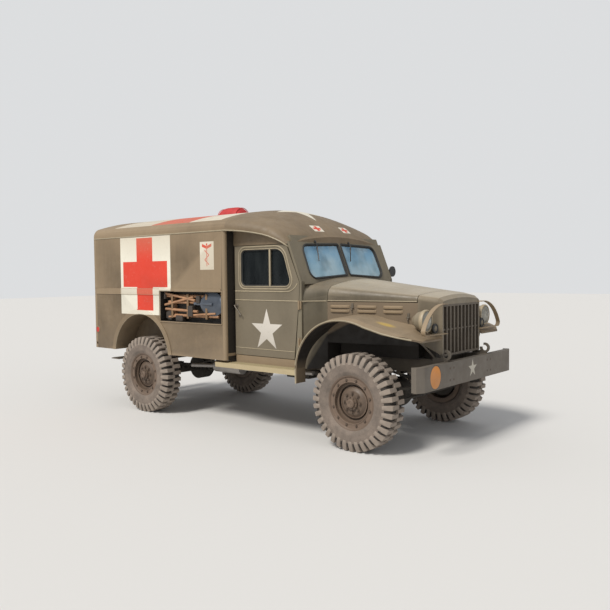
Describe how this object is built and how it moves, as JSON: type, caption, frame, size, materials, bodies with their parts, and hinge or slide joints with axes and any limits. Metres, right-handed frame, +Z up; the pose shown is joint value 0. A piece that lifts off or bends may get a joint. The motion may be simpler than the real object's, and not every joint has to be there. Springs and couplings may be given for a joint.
{
  "type": "military ambulance truck",
  "caption": "Light four-wheel-drive field ambulance with a closed steel box body, arched roof over the cab, sloping hood, slatted grille, sunk spare wheel and twin rear doors.",
  "frame": {"origin": "on the ground, halfway along the vehicle and on its centre line", "axes": "+X forward, +Y to the vehicle's left, +Z up"},
  "size_m": [4.94, 1.969, 2.462],
  "materials": {
    "body_paint": "dusty matt olive drab paint",
    "chassis_paint": "dusty olive chassis paint",
    "wheel_paint": "dusty brown paint",
    "tyre": "dusty rubber",
    "machinery": "painted cast iron",
    "steel": "dull steel",
    "lamp": "cream brown enamel",
    "glass": "flat window glass",
    "canvas": "olive canvas",
    "ventilator_red": "red paint",
    "black": "black paint",
    "wood": "worn ash handles"
  },
  "bodies": {
    "truck": {"benches": "canvas", "bulkhead": "body_paint", "bumper": "body_paint", "cowl": "body_paint", "dashboard": "body_paint", "drivetrain": "machinery", "engine": "machinery", "exhaust": "steel", "fenders": "body_paint", "floor": "body_paint", "frame": "chassis_paint", "front_axle": "machinery", "fuel_tank": "chassis_paint", "grille": "body_paint", "headlamps": "lamp", "hood_sides": "body_paint", "inner_wings": "chassis_paint", "lamp_guards": "body_paint", "leaf_springs": "machinery", "nose": "body_paint", "pioneer_tools": "wood", "radiator": "machinery", "rear_axle": "machinery", "rear_wall": "body_paint", "roof": "body_paint", "running_boards": "body_paint", "seats": "canvas", "side_wall_left": "body_paint", "side_wall_right": "body_paint", "spare_tyre": "tyre", "spare_wheel": "wheel_paint", "tail_lamps": "lamp", "tow_hooks": "chassis_paint", "ventilator": "ventilator_red", "windscreen_glass": "glass"},
    "hood": {"hood": "body_paint"},
    "cab_door_left": {"cab_door_left": "body_paint", "cab_glass_left": "glass", "mirror": "black"},
    "cab_door_right": {"cab_door_right": "body_paint", "cab_glass_right": "glass"},
    "rear_door_left": {"rear_door_left": "body_paint", "rear_glass_left": "glass"},
    "rear_door_right": {"rear_door_right": "body_paint", "rear_glass_right": "glass"},
    "rear_step": {"rear_step": "chassis_paint"},
    "knuckle_left": {"knuckle_left": "machinery"},
    "knuckle_right": {"knuckle_right": "machinery"},
    "tie_rod": {"tie_rod": "machinery"},
    "steering_wheel": {"steering_wheel": "black"},
    "wheel_front_left": {"wheel_front_left": "wheel_paint", "tyre_front_left": "tyre"},
    "wheel_front_right": {"wheel_front_right": "wheel_paint", "tyre_front_right": "tyre"},
    "wheel_rear_left": {"wheel_rear_left": "wheel_paint", "tyre_rear_left": "tyre"},
    "wheel_rear_right": {"wheel_rear_right": "wheel_paint", "tyre_rear_right": "tyre"}
  },
  "joints": [
    {"name": "steer_left", "type": "hinge", "parent": "truck", "child": "knuckle_left", "pos_m": [1.733, 0.665, 0.452], "axis": [0, 0, 1], "range_deg": [-28, 28]},
    {"name": "steer_right", "type": "hinge", "parent": "truck", "child": "knuckle_right", "pos_m": [1.733, -0.665, 0.452], "axis": [0, 0, 1], "range_deg": [-28, 28]},
    {"name": "tie_rod_pivot", "type": "hinge", "parent": "knuckle_left", "child": "tie_rod", "pos_m": [1.933, 0.665, 0.422], "axis": [0, 0, 1], "range_deg": [-28, 28]},
    {"name": "steering_wheel_turn", "type": "hinge", "parent": "truck", "child": "steering_wheel", "pos_m": [0.77, 0.4, 1.4], "axis": [-0.69, 0, 0.7238], "range_deg": [-504, 504]},
    {"name": "wheel_front_left_spin", "type": "hinge", "parent": "knuckle_left", "child": "wheel_front_left", "pos_m": [1.733, 0.8225, 0.452], "axis": [0, 1, 0], "continuous": true},
    {"name": "wheel_front_right_spin", "type": "hinge", "parent": "knuckle_right", "child": "wheel_front_right", "pos_m": [1.733, -0.8225, 0.452], "axis": [0, 1, 0], "continuous": true},
    {"name": "wheel_rear_left_spin", "type": "hinge", "parent": "truck", "child": "wheel_rear_left", "pos_m": [-1.34, 0.8225, 0.452], "axis": [0, 1, 0], "continuous": true},
    {"name": "wheel_rear_right_spin", "type": "hinge", "parent": "truck", "child": "wheel_rear_right", "pos_m": [-1.34, -0.8225, 0.452], "axis": [0, 1, 0], "continuous": true},
    {"name": "hood_hinge", "type": "hinge", "parent": "truck", "child": "hood", "pos_m": [1.253, 0, 1.584], "axis": [0, -1, 0], "range_deg": [0, 50]},
    {"name": "cab_door_left_hinge", "type": "hinge", "parent": "truck", "child": "cab_door_left", "pos_m": [1.037, 0.838, 1.36], "axis": [0, 0, -1], "range_deg": [0, 70]},
    {"name": "cab_door_right_hinge", "type": "hinge", "parent": "truck", "child": "cab_door_right", "pos_m": [1.037, -0.838, 1.36], "axis": [0, 0, 1], "range_deg": [0, 70]},
    {"name": "rear_door_left_hinge", "type": "hinge", "parent": "truck", "child": "rear_door_left", "pos_m": [-2.29, 0.762, 1.44], "axis": [0, 0, -1], "range_deg": [0, 110]},
    {"name": "rear_door_right_hinge", "type": "hinge", "parent": "truck", "child": "rear_door_right", "pos_m": [-2.29, -0.762, 1.44], "axis": [0, 0, 1], "range_deg": [0, 110]},
    {"name": "rear_step_hinge", "type": "hinge", "parent": "truck", "child": "rear_step", "pos_m": [-2.28, 0, 0.56], "axis": [0, 1, 0], "range_deg": [0, 90]}
  ],
  "couplings": [
    {"joint": "steer_right", "follows": "steer_left", "ratio": 1},
    {"joint": "tie_rod_pivot", "follows": "steer_left", "ratio": -1},
    {"joint": "steering_wheel_turn", "follows": "steer_left", "ratio": 18}
  ]
}
